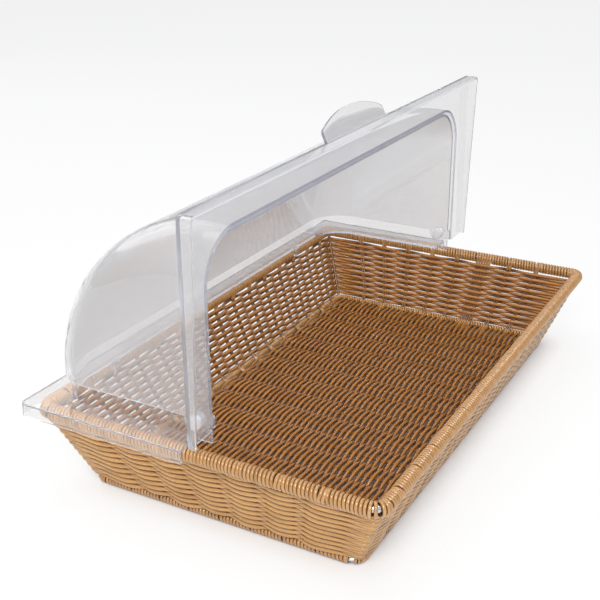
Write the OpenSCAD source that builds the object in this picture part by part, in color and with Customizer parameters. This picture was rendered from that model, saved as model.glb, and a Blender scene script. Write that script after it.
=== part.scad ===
// Countertop bread display bin: a woven basket built on two bent wire rings,
// under a clear roll-top cover. The rear hood rests on the rim and lifts off.
// The front hood turns on two pins and rolls back over the rear hood.
// Millimetres, +Z up, X along the long sides, the cover opens towards -Y.
// The origin is on the table under the middle of the basket.
// The cover is drawn open; closing it is a positive turn about +X.

/* [Basket rings] */
// Length of the rim wire, centre to centre
rim_len = 522; // [490:1:560]
// Width of the rim wire, centre to centre
rim_wid = 317; // [300:1:340]
// Length of the base wire, centre to centre
base_len = 466; // [440:1:480]
// Width of the base wire, centre to centre
base_wid = 257; // [240:1:270]
// Height of the rim wire's centre above the table
rim_z = 77; // [65:1:110]
// Thickness of the rim wire
rim_wire_d = 6; // [4:0.5:7]
// Thickness of the rim over its winding
rim_wrap_d = 12.5; // [11:0.5:14]
// Thickness of the base wire
base_wire_d = 4; // [3:0.5:5]
// Thickness of the base ring over its winding
base_wrap_d = 8; // [7:0.5:9]
// Bend radius of both wires at the corners
corner_r = 10; // [8:0.5:14]
// Distance from one turn of the winding to the next
wrap_pitch = 3.3; // [2.8:0.1:4.5]

/* [Weave] */
// Height of one weaver strand
strand_h = 2.6; // [2:0.1:2.6]
// Thickness of one weaver strand through the wall
strand_t = 2.8; // [2:0.1:3.2]
// Distance from one weaver row to the next in the walls
row_pitch = 2.85; // [2.8:0.05:4.5]
// Distance from one weaver row to the next in the floor
floor_pitch = 2.95; // [2.8:0.05:4.5]
// Thickness of one stake rod
stake_d = 2.4; // [1.8:0.1:2.6]
// Thickness of the post in each corner
post_d = 3.2; // [2.4:0.1:3.4]
// Distance between stakes along the long sides, at the base
long_pitch = 30; // [27:0.1:31]
// Distance between stakes along the short sides, at the base
short_pitch = 30.2; // [28:0.1:33]
// Free gap over the base winding, under the lowest weaver row
foot_gap = 1.5; // [0.3:0.1:3]
// Least free gap under the rim, over the highest weaver row
top_gap = 1.2; // [1:0.1:8]

/* [Cover] */
// Wall of both hoods
shell_t = 2.5; // [2:0.1:3]
// Thickness of the rear hood's flange
flange_t = 2.2; // [1.8:0.1:2.6]
// Space between the rear hood and the front hood around it
nest_gap = 2; // [1.5:0.1:2.5]
// Inset of the rear hood's end walls from the rim wire
end_inset = 12; // [10:0.5:16]
// Inset of the rear hood's back wall from the rim wire
back_inset = 3.5; // [2:0.5:8]
// Fillet between the rear hood's barrel and its end walls, outside
shell_fillet = 38; // [20:1:50]
// Distance of the pivot behind the middle of the basket
pivot_back = 6.5; // [4:0.5:9]
// Height of the pivot above the top of the rim
pivot_rise = 19.75; // [18.5:0.25:26]
// Reach of the rear hood's flange past the rim wire
flange_reach = 13; // [11:0.5:16]
// Depth of the rear hood's skirt, with its flange
skirt_drop = 12; // [8:0.5:16]
// Start of the rear hood's flange behind the pivot
flange_start = 1; // [0.5:0.5:3]
// Reach of the rear hood in front of the pivot
lip_front = 12.2; // [9:0.1:12.5]
// Sideways reach of the front hood's flange past the rim wire
front_side_reach = 21; // [17:0.5:24]
// Forward reach of the front hood's flange past the rim wire
front_reach = 14; // [12:0.5:18]
// Depth of the front hood's skirt, with its flange
front_skirt_drop = 12.5; // [8:0.5:14]
// Height of the front hood's flange over the rear hood's when closed
lap_gap = 1.6; // [0.8:0.1:2]
// Corner radius of both flanges
flange_corner = 5; // [3:0.5:8]
// Depth of the front hood's side skirts at the pivots, with the flange
side_skirt_drop = 7; // [5:0.5:8]
// Width of the handle tab
tab_w = 120; // [80:1:150]
// Depth of the handle tab
tab_d = 23.5; // [18:0.5:28]
// How much further the handle tab reaches in its middle than at its ends
tab_bow = 12.5; // [8:0.5:14]
// Radius of the handle tab's two corners
tab_end_r = 5; // [3:0.5:6]
// Upward tilt of the handle tab when the hood is closed, degrees
tab_tilt = 25; // [0:1:35]
// Spacing of the two locating lugs
lug_spacing = 334; // [200:2:380]
// Nose of the short tab on each front edge of the rear hood
tab_nose = 2.5; // [1:0.5:4]
// Width of a locating lug
lug_w = 8; // [5:0.5:12]
// Depth of a locating lug under the rim's top
lug_drop = 7; // [4:0.5:9]

/* [Pivots] */
// Shank of a pivot pin
pin_d = 6; // [4:0.5:7]
// Head of a pivot pin
pin_head_d = 13; // [10:0.5:15]
// Thickness of a pin's head
pin_head_t = 3; // [2:0.5:4]
// Outside of a pin's inner cap
cap_d = 11; // [9.5:0.5:13]
// Thickness of a pin's inner cap
cap_t = 2.4; // [2:0.1:4]
// Radius of the front hood's ear around a pivot
ear_r = 10.5; // [9:0.5:12]

/* [Hidden] */

// Clearances
seat_gap = 0.3;
thread_gap = 0.12;
wire_gap = 0.1;
run_gap = 0.08;
fit_gap = 0.04;

// Smoothness
$fn = 64;
rod_sides = 8;

// Colours
wicker = [0.77, 0.56, 0.33];
wicker_dark = [0.62, 0.40, 0.20];
steel = [0.75, 0.76, 0.78];
clear = [0.86, 0.90, 0.93, 0.45];

// Levels and half sizes
base_z = base_wrap_d / 2;
rim_top = rim_z + rim_wrap_d / 2;
corner_inset = corner_r * (1 - cos(45));
ring_rise = rim_z - base_z;
function share(z) = (z - base_z) / ring_rise;
function half_len(z) = base_len / 2 + (rim_len - base_len) / 2 * share(z);
function half_wid(z) = base_wid / 2 + (rim_wid - base_wid) / 2 * share(z);

// Lean of the walls, and how far a strand swings to clear a leaning stake
lean_long = atan((rim_wid - base_wid) / 2 / ring_rise);
lean_short = atan((rim_len - base_len) / 2 / ring_rise);
lean_post = atan(norm([rim_wid - base_wid, rim_len - base_len]) / 2 / ring_rise);
function swing(d, lean) = d / 2 / cos(lean) + strand_h / 2 * tan(lean)
                          + strand_t / 2 + thread_gap;
wall_swing = max(swing(stake_d, lean_long), swing(stake_d, lean_short));
post_swing = swing(post_d, lean_post);
floor_swing = stake_d / 2 + strand_t / 2 + thread_gap;
floor_z = floor_swing + strand_t / 2 + seat_gap;
pair_shift = stake_d / 2 + thread_gap;

// Share of a bay over which a strand lies along its stake, and where it bends
// in towards the inside of a corner post, as shares of the way there
hold = 0.16;
tuck = [0.8, 0.45];

// Stakes on each side of the middle one
long_stakes = floor((base_len / 2 - corner_r) / long_pitch);
short_stakes = floor((base_wid / 2 - corner_r) / short_pitch);

// Rows of weavers up the wall
first_row = base_wrap_d + foot_gap + strand_h / 2;
last_row = rim_top - rim_wrap_d - top_gap - strand_h / 2;
rows = floor((last_row - first_row) / row_pitch);

// Cover
fixed_seat = rim_top + seat_gap;
fixed_top = fixed_seat + flange_t;
pivot_z = rim_top + pivot_rise;
barrel_r = rim_wid / 2 - back_inset - pivot_back;
fixed_half = rim_len / 2 - end_inset;
moving_half = fixed_half + nest_gap + shell_t;
moving_r = barrel_r + nest_gap + shell_t;
moving_fillet = shell_fillet + nest_gap + shell_t;
moving_under = pivot_z - fixed_top - lap_gap;
moving_edge = rim_wid / 2 + front_reach + pivot_back;
moving_side = rim_len / 2 + front_side_reach;
ear_back = sqrt(pow(moving_under + lap_gap - seat_gap, 2) - pow(moving_under, 2));
barrel_edge = 2;
past_front = lip_front + 1;
hole_len = 2 * (nest_gap + 2 * shell_t);
tab_root = 1.2;

// Profile of a winding turn, and the bevel on the pivot fittings
wrap_dip = wrap_pitch * 0.22;
crest_half = 0.22;
bevel = 0.6;

// ---- Wires and windings ----

module rod(from, to, d) {
    v = to - from;
    turn = [0, acos(v.z / norm(v)), atan2(v.y, v.x)];
    translate(from) rotate(turn) cylinder(d = d, h = norm(v), $fn = rod_sides);
}

// Closed ring of round wire with four bends
module wire_ring(len, wid, z, d) {
    a = len / 2 - corner_r;
    b = wid / 2 - corner_r;
    for (s = [-1, 1]) {
        translate([-a, s * wid / 2, z]) rotate([0, 90, 0]) cylinder(d = d, h = 2 * a);
        translate([s * len / 2, b, z]) rotate([90, 0, 0]) cylinder(d = d, h = 2 * b);
    }
    for (q = [[a, b, 0], [-a, b, 90], [-a, -b, 180], [a, -b, 270]])
        translate([q[0], q[1], z]) rotate(q[2])
            rotate_extrude(angle = 90) translate([corner_r, 0]) circle(d = d);
}

// Winding along a straight wire: one low bulge for each turn
module winding(len, wire_d, wrap_d) {
    turns = floor(len / wrap_pitch);
    step = len / turns;
    crest = wrap_d / 2;
    valley = crest - wrap_dip;
    bore = wire_d / 2 + wire_gap;
    bulges = [for (i = [0 : turns - 1], k = [0 : 2])
        [k == 0 ? valley : crest, step * (i + [0, 0.5 - crest_half, 0.5 + crest_half][k])]];
    translate([-len / 2, 0, 0]) rotate([0, 90, 0]) rotate_extrude()
        polygon(concat([[bore, len], [bore, 0]], bulges, [[valley, len]]));
}

// Placing on a side: the local u runs along the side and w points outwards
module on_side(side, z) {
    turn = side == "rear" ? 0 : side == "front" ? 180 : side == "left" ? 90 : -90;
    out = side == "front" || side == "rear" ? half_wid(z) : half_len(z);
    rotate(turn) translate([0, out, z]) children();
}

function is_long(side) = side == "front" || side == "rear";

module rim_winding(side) {
    len = (is_long(side) ? rim_len : rim_wid) - 2 * corner_r;
    color(wicker) on_side(side, rim_z) winding(len, rim_wire_d, rim_wrap_d);
}

module base_winding(side) {
    len = (is_long(side) ? base_len : base_wid) - 2 * corner_r;
    color(wicker) on_side(side, base_z) winding(len, base_wire_d, base_wrap_d);
}

// Fanned turns around each bend of the rim wire
module rim_corner_wraps() {
    loops = 6;
    loop_half = 0.35;
    fan = 90 / loops;
    overrun = 5;
    a = rim_len / 2 - corner_r;
    b = rim_wid / 2 - corner_r;
    crest = rim_wrap_d / 2;
    color(wicker)
        for (q = [[a, b, 0], [-a, b, 90], [-a, -b, 180], [a, -b, 270]])
            translate([q[0], q[1], rim_z]) rotate(q[2]) difference() {
                union() {
                    rotate_extrude(angle = 90) translate([corner_r, 0])
                        circle(r = crest - wrap_dip);
                    for (i = [0 : loops - 1])
                        rotate((i + 0.5 - loop_half) * fan) rotate_extrude(angle = fan * 2 * loop_half)
                            translate([corner_r, 0]) circle(r = crest);
                }
                rotate(-overrun) rotate_extrude(angle = 90 + 2 * overrun)
                    translate([corner_r, 0]) circle(d = rim_wire_d + 2 * wire_gap);
            }
}

module rim_wire() color(steel) wire_ring(rim_len, rim_wid, rim_z, rim_wire_d);
module base_wire() color(steel) wire_ring(base_len, base_wid, base_z, base_wire_d);

// ---- Stakes ----

// Point on a wall's middle surface, u along the side, at height z
function wall_point(side, u, z) =
    side == "rear" ? [u, half_wid(z), z] :
    side == "front" ? [u, -half_wid(z), z] :
    side == "left" ? [-half_len(z), u, z] : [half_len(z), u, z];

// A rod up the wall that stops just clear of both windings
module wall_rod(low, high, d) {
    way = (high - low) / norm(high - low);
    rod(low + way * (base_wrap_d / 2 + seat_gap), high - way * (rim_wrap_d / 2 + seat_gap), d);
}

// Pairs of stakes up one side, fanned out like the wall
module wall_stakes(side) {
    count = is_long(side) ? long_stakes : short_stakes;
    pitch = is_long(side) ? long_pitch : short_pitch;
    spread = is_long(side) ? rim_len / base_len : rim_wid / base_wid;
    color(wicker_dark)
        for (k = [-count : count], s = [-1, 1])
            wall_rod(wall_point(side, k * pitch + s * pair_shift, base_z),
                     wall_point(side, k * pitch * spread + s * pair_shift, rim_z), stake_d);
}

module corner_posts() {
    low = [base_len / 2 - corner_inset, base_wid / 2 - corner_inset, base_z];
    high = [rim_len / 2 - corner_inset, rim_wid / 2 - corner_inset, rim_z];
    color(wicker_dark)
        for (i = [-1, 1], j = [-1, 1])
            wall_rod([i * low.x, j * low.y, low.z], [i * high.x, j * high.y, high.z], post_d);
}

module floor_stakes() {
    reach = base_wid / 2 - base_wrap_d / 2 - seat_gap;
    color(wicker_dark)
        for (k = [-long_stakes : long_stakes], s = [-1, 1]) {
            x = k * long_pitch + s * pair_shift;
            rod([x, -reach, floor_z], [x, reach, floor_z], stake_d);
        }
}

// ---- Weavers ----

// Points of a strand from the stake at a to the stake at b. It leaves a on
// side s of the wall, crosses over halfway and reaches b on the other side.
function crossing(a, b, s, swing) =
    [[a + (b - a) * hold, s * swing], [b - (b - a) * hold, -s * swing]];

// End of a strand around the outside of a corner post
function outer_end(a, p, swing) = concat(
    [[a + (p.x - a) * hold, -swing]],
    [for (turn = [0, 22.5, 45]) p + post_swing * [sin(turn), cos(turn)]]);

// End of a strand across the inside of a corner post
function inner_end(a, p, swing) =
    let (stop = p - post_swing * [sin(45), cos(45)])
    [[a + (p.x - a) * hold, swing], [a + (stop.x - a) * tuck.x, stop.y * tuck.y], stop];

function mirrored(path) = [for (i = [len(path) - 1 : -1 : 0]) [-path[i].x, path[i].y]];

// Sign of the corner: +1 when the row passes outside the corner post
function side_sign(row, k) = (row + k) % 2 == 0 ? 1 : -1;

// Centre line of one row along one side, corner to corner
function row_path(count, pitch, half, row) =
    let (p = [half - corner_inset, -corner_inset],
         last = count * pitch,
         out = side_sign(row, 0),
         right = out > 0 ? outer_end(last, p, wall_swing) : inner_end(last, p, wall_swing),
         middle = [for (k = [-count : count - 1])
             each crossing(k * pitch, (k + 1) * pitch,
                           out * side_sign(count + 1, k), wall_swing)])
    concat(mirrored(right), middle, right);

function unit(v) = v / norm(v);
function left_of(v) = [-v.y, v.x];
function path_normal(path, i) =
    left_of(unit(path[min(i + 1, len(path) - 1)] - path[max(i - 1, 0)]));

// Strip of even thickness around a path. Both ends lie on the given normals.
module strip(path, first, last) {
    top = len(path) - 1;
    normals = [for (i = [0 : top]) i == 0 ? first : i == top ? last : path_normal(path, i)];
    polygon(concat([for (i = [0 : top]) path[i] + normals[i] * strand_t / 2],
                   [for (i = [top : -1 : 0]) path[i] - normals[i] * strand_t / 2]));
}

module wall_weave(side) {
    count = is_long(side) ? long_stakes : short_stakes;
    pitch = is_long(side) ? long_pitch : short_pitch;
    spread = (is_long(side) ? rim_len / base_len : rim_wid / base_wid) - 1;
    mitre = [sin(45), cos(45)];
    color(wicker)
        for (row = [0 : rows]) {
            z = first_row + row * row_pitch;
            half = is_long(side) ? half_len(z) : half_wid(z);
            on_side(side, z - strand_h / 2)
                translate([0, wall_step(side, z), 0]) linear_extrude(strand_h)
                    strip(row_path(count, pitch * (1 + spread * share(z)), half, row),
                          [-mitre.x, mitre.y], mitre);
        }
}

// How much further out the wall is at a strand's middle than at its lower edge
function wall_step(side, z) = is_long(side) ?
    half_wid(z) - half_wid(z - strand_h / 2) : half_len(z) - half_len(z - strand_h / 2);

module floor_weave() {
    reach = base_len / 2 - base_wrap_d / 2 - seat_gap;
    edge = base_wid / 2 - base_wrap_d / 2 - seat_gap - strand_h / 2;
    lines = floor(edge / floor_pitch);
    color(wicker_dark)
        for (row = [-lines : lines]) {
            out = side_sign(abs(row), 0);
            middle = [for (k = [-long_stakes : long_stakes - 1])
                each crossing(k * long_pitch, (k + 1) * long_pitch,
                              out * side_sign(0, abs(k)), floor_swing)];
            tail = crossing(long_stakes * long_pitch, (long_stakes + 1) * long_pitch,
                            out * side_sign(0, long_stakes), floor_swing);
            run = [for (q = tail) if (q.x < reach - 1) q];
            right = concat(run, [[reach, run[len(run) - 1].y]]);
            translate([0, row * floor_pitch + strand_h / 2, floor_z]) rotate([90, 0, 0])
                linear_extrude(strand_h)
                    strip(concat(mirrored(right), middle, right), [0, 1], [0, 1]);
        }
}

// ---- Cover ----

// Half section of a hood: radius across, pivot axis up, corners rounded.
// It starts at the given distance from the axis.
module hood_section(r, half, fillet, start = 0) {
    translate([start, -half]) square([r - fillet - start, 2 * half]);
    translate([start, fillet - half]) square([r - start, 2 * (half - fillet)]);
    for (s = [-1, 1]) translate([r - fillet, s * (half - fillet)]) circle(r = fillet);
}

module hood_wall_section(r, half, fillet) {
    difference() {
        hood_section(r, half, fillet);
        hood_section(r - shell_t, half - shell_t, fillet - shell_t, -1);
    }
}

// Barrel and end walls: the section turned about the pivot axis over +Z
module hood_barrel(r, half, fillet) {
    rotate([0, 90, 0]) rotate(90) rotate_extrude(angle = 180)
        hood_wall_section(r, half, fillet);
}

// Plan of the upright walls, from the back of the barrel to the open front
module hood_wall_plan(r, half, fillet, front) {
    rotate(90) hood_wall_section(r, half, fillet);
    for (s = [-1, 1]) translate([s * (half - shell_t / 2) - shell_t / 2, -front])
        square([shell_t, front + 1]);
}

// Plan of the space inside, open at the front
module hood_space_plan(r, half, fillet) {
    rotate(90) hood_section(r - shell_t, half - shell_t, fillet - shell_t, -past_front);
}

module box_between(low, high) translate(low) cube(high - low);

module pivot_holes(r) {
    for (s = [-1, 1]) translate([s * fixed_half, 0, 0]) rotate([0, 90, 0])
        cylinder(r = r, h = hole_len, center = true);
}

// Plan of a flange, its two back corners rounded
module flange_plan(half, back, front, r) {
    steps = $fn / 8;
    polygon(concat([[-half, front], [half, front]],
        [for (i = [0 : steps]) [half - r, back - r] + r * [cos(90 * i / steps), sin(90 * i / steps)]],
        [for (i = [steps : -1 : 0])
            [r - half, back - r] + r * [-cos(90 * i / steps), sin(90 * i / steps)]]));
}

// Flat flange around a hood, open inside
module flange(half, back, front, r, end, fillet, t) {
    linear_extrude(t) difference() {
        flange_plan(half, back, front, flange_corner);
        hood_space_plan(r, end, fillet);
    }
}

module skirt(half, back, front, t, drop) {
    translate([0, 0, t - drop]) linear_extrude(drop) difference() {
        flange_plan(half, back, front, flange_corner);
        flange_plan(half - t, back - t, front - 1, flange_corner - t);
    }
}

// Rear hood, drawn about the pivot axis
module rear_hood_shape() {
    seat = fixed_seat - pivot_z;
    back = rim_wid / 2 + flange_reach - pivot_back;
    side = rim_len / 2 + flange_reach;
    difference() {
        union() {
            intersection() {
                hood_barrel(barrel_r, fixed_half, shell_fillet);
                box_between([-side, -lip_front, 0], [side, back, barrel_r + 1]);
            }
            translate([0, 0, seat]) linear_extrude(-seat)
                hood_wall_plan(barrel_r, fixed_half, shell_fillet, lip_front);
            translate([0, 0, seat]) {
                flange(side, back, flange_start, barrel_r, fixed_half, shell_fillet, flange_t);
                skirt(side, back, flange_start, flange_t, skirt_drop);
            }
            locating_lugs(seat);
            edge_tabs();
        }
        pivot_holes(pin_d / 2 + fit_gap);
    }
}

// Two lugs under the back wall that hook inside the rim
module locating_lugs(seat) {
    face = (rim_wid - rim_wrap_d) / 2 - seat_gap - pivot_back;
    wall = barrel_r - shell_t;
    for (s = [-1, 1]) translate([s * lug_spacing / 2 - lug_w / 2, 0, seat]) {
        translate([0, face - shell_t, -lug_drop]) cube([lug_w, shell_t, lug_drop + flange_t]);
        translate([0, face - shell_t, 0]) cube([lug_w, wall - face + 2 * shell_t, flange_t]);
    }
}

// Short tab low on each front edge of the rear hood
module edge_tabs() {
    for (s = [-1, 1])
        translate([s * (fixed_half - shell_t / 2) - shell_t / 2, -lip_front - tab_nose, -ear_r / 2])
            cube([shell_t, tab_nose + 1, ear_r]);
}

module rear_hood() {
    color(clear) translate([0, pivot_back, pivot_z]) rear_hood_shape();
}

// Front hood in its closed position, drawn about the pivot axis and running
// back to +Y, so it is turned round to face the front
module front_hood_closed() {
    difference() {
        rotate(180) union() {
            intersection() {
                hood_barrel(moving_r, moving_half, moving_fillet);
                box_between([-moving_side, barrel_edge, 0],
                            [moving_side, moving_r + 1, moving_r + 1]);
            }
            translate([0, 0, -moving_under]) {
                linear_extrude(moving_under)
                    hood_wall_plan(moving_r, moving_half, moving_fillet, ear_back);
                flange(moving_side, moving_edge, -ear_back,
                       moving_r, moving_half, moving_fillet, shell_t);
                difference() {
                    skirt(moving_side, moving_edge, -ear_back, shell_t, front_skirt_drop);
                    skirt_taper();
                }
                translate([0, moving_edge - tab_root, 0]) rotate([tab_tilt, 0, 0])
                    linear_extrude(shell_t) handle_tab();
            }
            for (s = [-1, 1]) translate([s * (moving_half - shell_t / 2), 0, 0])
                rotate([0, 90, 0]) cylinder(r = ear_r, h = shell_t, center = true);
        }
        pivot_holes(pin_d / 2 + run_gap);
    }
}

// What the side skirts lose below, from their front corners to the pivots
module skirt_taper() {
    low = shell_t - front_skirt_drop;
    from = moving_edge - flange_corner;
    slope = (front_skirt_drop - side_skirt_drop) / from;
    beyond = flange_corner / 2;
    translate([-moving_side - 1, 0, 0]) rotate([90, 0, 90])
        linear_extrude(2 * moving_side + 2)
            polygon([[from + beyond, low - beyond * slope],
                     [-ear_back - 1, low + (from + ear_back + 1) * slope],
                     [-ear_back - 1, low - 1], [from + beyond, low - 1]]);
}

// Half lens with rounded corners, running out towards +Y from its root
module handle_tab() {
    side = tab_w / 2;
    bow = (pow(side, 2) + pow(tab_bow, 2)) / (2 * tab_bow);
    middle = tab_root + tab_d - bow;
    corner = [side - tab_end_r, middle + sqrt(pow(bow - tab_end_r, 2) - pow(side - tab_end_r, 2))];
    turn = atan2(corner.y - middle, corner.x);
    polygon(concat([[side, 0]],
        [for (i = [0 : 7]) corner + tab_end_r * [cos(turn * i / 8), sin(turn * i / 8)]],
        [for (i = [0 : 40]) let (a = turn + (90 - turn) * i / 20)
            [bow * cos(a), middle + bow * sin(a)]],
        [for (i = [7 : -1 : 0])
            [-corner.x, corner.y] + tab_end_r * [-cos(turn * i / 8), sin(turn * i / 8)]],
        [[-side, 0]]));
}

module front_hood() {
    color(clear) translate([0, pivot_back, pivot_z]) rotate([-90, 0, 0]) front_hood_closed();
}

// ---- Pivot pins, drawn for the +X end and mirrored for the other ----

module pivot_pin() {
    inside = fixed_half - shell_t - seat_gap - cap_t;
    under = moving_half + seat_gap - inside;
    top = under + pin_head_t;
    color(clear) translate([inside, pivot_back, pivot_z]) rotate([0, 90, 0]) rotate_extrude()
        polygon([[0, 0], [pin_d / 2, 0], [pin_d / 2, under], [pin_head_d / 2, under],
                 [pin_head_d / 2, top - bevel], [pin_head_d / 2 - bevel, top],
                 [pin_head_d / 4, top], [pin_head_d / 4 - bevel, top - bevel],
                 [0, top - bevel]]);
}

module pivot_cap() {
    inside = fixed_half - shell_t - seat_gap - cap_t;
    color(clear) translate([inside, pivot_back, pivot_z]) rotate([0, 90, 0]) rotate_extrude()
        polygon([[pin_d / 2 + fit_gap, 0], [cap_d / 2 - bevel, 0], [cap_d / 2, bevel],
                 [cap_d / 2, cap_t], [pin_d / 2 + fit_gap, cap_t]]);
}

base_wire();
base_winding("front");  // base_wrap_front
base_winding("rear");  // base_wrap_rear
base_winding("left");  // base_wrap_left
base_winding("right");  // base_wrap_right
floor_stakes();
floor_weave();
corner_posts();
wall_stakes("front");  // stakes_front
wall_stakes("rear");  // stakes_rear
wall_stakes("left");  // stakes_left
wall_stakes("right");  // stakes_right
wall_weave("front");  // weave_front
wall_weave("rear");  // weave_rear
wall_weave("left");  // weave_left
wall_weave("right");  // weave_right
rim_wire();
rim_winding("front");  // rim_wrap_front
rim_winding("rear");  // rim_wrap_rear
rim_winding("left");  // rim_wrap_left
rim_winding("right");  // rim_wrap_right
rim_corner_wraps();
rear_hood();
front_hood();
mirror([1, 0, 0]) pivot_pin();  // pivot_pin_left
pivot_pin();  // pivot_pin_right
mirror([1, 0, 0]) pivot_cap();  // pivot_cap_left
pivot_cap();  // pivot_cap_right
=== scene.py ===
"""Countertop bread display bin: a woven basket on two wire rings, under a clear roll-top cover.

Each operator dresses one piece, or a group of like pieces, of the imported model.
"""

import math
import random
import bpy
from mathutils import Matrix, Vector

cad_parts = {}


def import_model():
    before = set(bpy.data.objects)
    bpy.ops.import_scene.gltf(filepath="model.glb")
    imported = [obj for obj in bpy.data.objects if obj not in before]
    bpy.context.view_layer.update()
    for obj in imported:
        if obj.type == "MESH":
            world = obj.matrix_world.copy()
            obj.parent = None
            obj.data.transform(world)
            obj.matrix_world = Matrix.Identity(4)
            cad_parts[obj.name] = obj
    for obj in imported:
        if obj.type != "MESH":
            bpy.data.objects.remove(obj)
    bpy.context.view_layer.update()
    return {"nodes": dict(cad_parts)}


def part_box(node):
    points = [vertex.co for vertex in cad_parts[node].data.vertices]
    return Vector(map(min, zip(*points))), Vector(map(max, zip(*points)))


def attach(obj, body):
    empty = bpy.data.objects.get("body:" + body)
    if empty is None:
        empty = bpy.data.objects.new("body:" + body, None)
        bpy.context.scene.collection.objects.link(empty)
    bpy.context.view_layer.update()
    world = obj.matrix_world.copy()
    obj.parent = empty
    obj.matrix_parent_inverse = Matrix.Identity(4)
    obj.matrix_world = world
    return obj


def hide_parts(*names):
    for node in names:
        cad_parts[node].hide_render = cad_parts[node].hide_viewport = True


bl_info = {
    "name": "Bread Display Bin",
    "version": (1, 0, 0),
    "blender": (4, 5, 0),
    "location": "3D View > Sidebar > Bread Bin",
    "description": "Weaves a countertop display basket and fits its clear roll-top cover",
    "category": "Object",
}

import bpy
from bpy.props import FloatProperty, FloatVectorProperty, IntProperty, PointerProperty
from mathutils import Matrix, Vector

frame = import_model()
MM = 0.001
SIDES = ("front", "rear", "left", "right")
SIDE_TURNS = {"rear": 0, "front": math.pi, "left": math.pi / 2, "right": -math.pi / 2}

# Facets round a strand, and steps along one turn or one bend of it
STRAND_SIDES = 8
TURN_STEPS = 16
LOOP_STEPS = 24
WALL_STEPS = 6
FLOOR_STEPS = 7
STRAIGHT_STEPS = 2

# Rods in a common stake, and in the one wide stake of each short side
PAIR = 2
WIDE_LEFT = 5
WIDE_RIGHT = 6

# Where the loose turns lie on a bend, in degrees from X. The front left bend has its own.
RIM_LOOPS = (9, 27, 45, 63, 81)
RIM_LOOPS_NEAR = (10, 27, 54, 67, 80)
BASE_LOOPS = (4, 16, 28, 40, 51, 63, 75, 86)
BASE_LOOPS_NEAR = (3, 36, 47, 58, 68, 78, 88)

# Seeds of the random strays of the loops, the walls and the floor
LOOP_SEED = 11
WALL_SEED = 3
FLOOR_SEED = 29

# How far strands stray from their regular places. The last two are the tilt and the heading of a
# loop round a bend, in radians.
STRAY_SWING = 0.15 * MM
STRAY_HEIGHT = 0.1 * MM
STRAY_SIDEWAYS = 0.25 * MM
STRAY_DEGREES = 1.5
STRAY_LEAN = 0.06
STRAY_TWIST = 0.05

# A weaver's path: its slope half way between two stakes, as a multiple of its swing over the bay,
# and its handles, as shares of the bay half way, of the short pitch at a stake, and of the long
# pitch at a floor stake. Then its swing around a corner post just after it passed outside a stake,
# as a share of the full one.
WEAVER_SLOPE = 3.2
WEAVER_HALF_WAY = 0.14
WEAVER_AT_STAKE = 0.26
FLOOR_AT_STAKE = 0.4
POST_CLOSER = 0.8

# A stake's rod round the rim: angle on the roll from outside, thickness as a share of the coil
# strand's, and shift along the rim in coil pitches
ROD_WRAP = ((195, 0.92, 0.29), (90, 0.97, 0), (0, 1, -0.25), (-70, 1, -0.44))

# Painted shade on a rod, given as a depth in the weave: on the wall, at its foot, and where strands
# cover it
ROD_ON_WALL = 0.15
ROD_AT_FOOT = 0.7
ROD_COVERED = 0.3

# Handle length that makes a quarter of a circle of radius 1
QUARTER_ARC = 0.5523

# What a strand's tone is multiplied by: in its dark and light streaks, as painted shade deep in the
# weave, and as painted shade where it faces into the basket. Then how fine the streaks are, along the
# strand and across it.
DARK_STREAK = (0.74, 0.66, 0.58)
LIGHT_STREAK = (1.16, 1.2, 1.25)
DEEP_SHADE = (0.24, 0.17, 0.13, 1)
INWARD_SHADE = (0.82, 0.64, 0.43, 1)
STREAKS_ALONG = 25.0
STREAKS_ACROSS = 290.0

# Name, place, aim, size and power of each lamp, in metres and watts
LAMPS = (("overhead", (0.1, 0.2, 1.6), (0, 0, 0.05), 1.4, 9),
         ("key", (-1.45, -0.65, 1.4), (0, 0, 0.05), 0.9, 27),
         ("back", (0.6, 1.6, 1.2), (0, 0, 0.1), 1.6, 5))

# Side of the floor, in metres, and how far it lies under the part
FLOOR_SIZE = 30
FLOOR_DROP = 0.2 * MM

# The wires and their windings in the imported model
RIM_LOW, RIM_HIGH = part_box("rim_wire")
BASE_LOW, BASE_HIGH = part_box("base_wire")
RIM_ROLL_LOW, RIM_ROLL_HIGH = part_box("rim_wrap_front")
BASE_ROLL_LOW, BASE_ROLL_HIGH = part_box("base_wrap_front")
RIM_WIRE = RIM_HIGH.z - RIM_LOW.z
BASE_WIRE = BASE_HIGH.z - BASE_LOW.z


def length(name, text, default):
    """A size that a user can change, in metres."""
    return FloatProperty(name=name, description=text, default=default, unit="LENGTH", precision=4)


def ratio(name, text, default):
    """A share or a strength that a user can change."""
    return FloatProperty(name=name, description=text, default=default, min=0)


def colour(name, text, default):
    """A colour that a user can change."""
    return FloatVectorProperty(name=name, description=text, default=default, size=len(default),
                               subtype="COLOR", min=0, max=1)


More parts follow.
